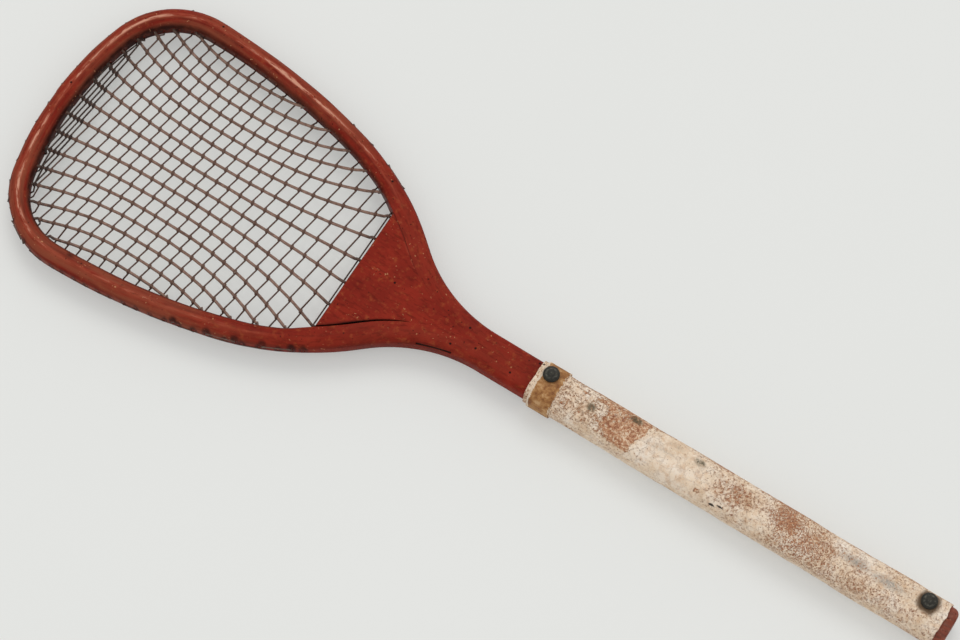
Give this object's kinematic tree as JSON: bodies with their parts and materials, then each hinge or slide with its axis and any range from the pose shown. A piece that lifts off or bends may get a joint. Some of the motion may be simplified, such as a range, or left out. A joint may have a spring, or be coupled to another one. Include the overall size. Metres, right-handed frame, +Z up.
{
  "type": "tennis racket",
  "caption": "Antique lawn tennis racket: a bent red-stained wood hoop with a throat wedge, a laced gut string bed and a tacked leather grip, lying flat.",
  "frame": {"origin": "middle of the racket's box, on the plane that the collar of the grip rests on", "axes": "+X along the racket from the head to the butt, +Y across it, +Z up out of the string bed"},
  "size_m": [0.6858, 0.2066, 0.0302],
  "materials": {
    "red_wood": "worn red stain and varnish on ash",
    "handle_wood": "red stained, bare at the butt",
    "main_gut": "aged brown gut",
    "cross_gut": "aged dark gut",
    "grip_leather": "pale, flaked and stained",
    "collar_leather": "ochre, matte",
    "tack_iron": "blackened, dull"
  },
  "bodies": {
    "root": {"frame_hoop": "red_wood", "throat_wedge": "red_wood", "handle_cheek_front": "handle_wood", "handle_cheek_back": "handle_wood", "grip_sleeve": "grip_leather", "grip_collar": "collar_leather", "tack_upper": "tack_iron", "tack_lower": "tack_iron", "main_string": "main_gut", "cross_string": "cross_gut", "treble_string": "cross_gut", "throat_string": "main_gut"}
  },
  "joints": []
}
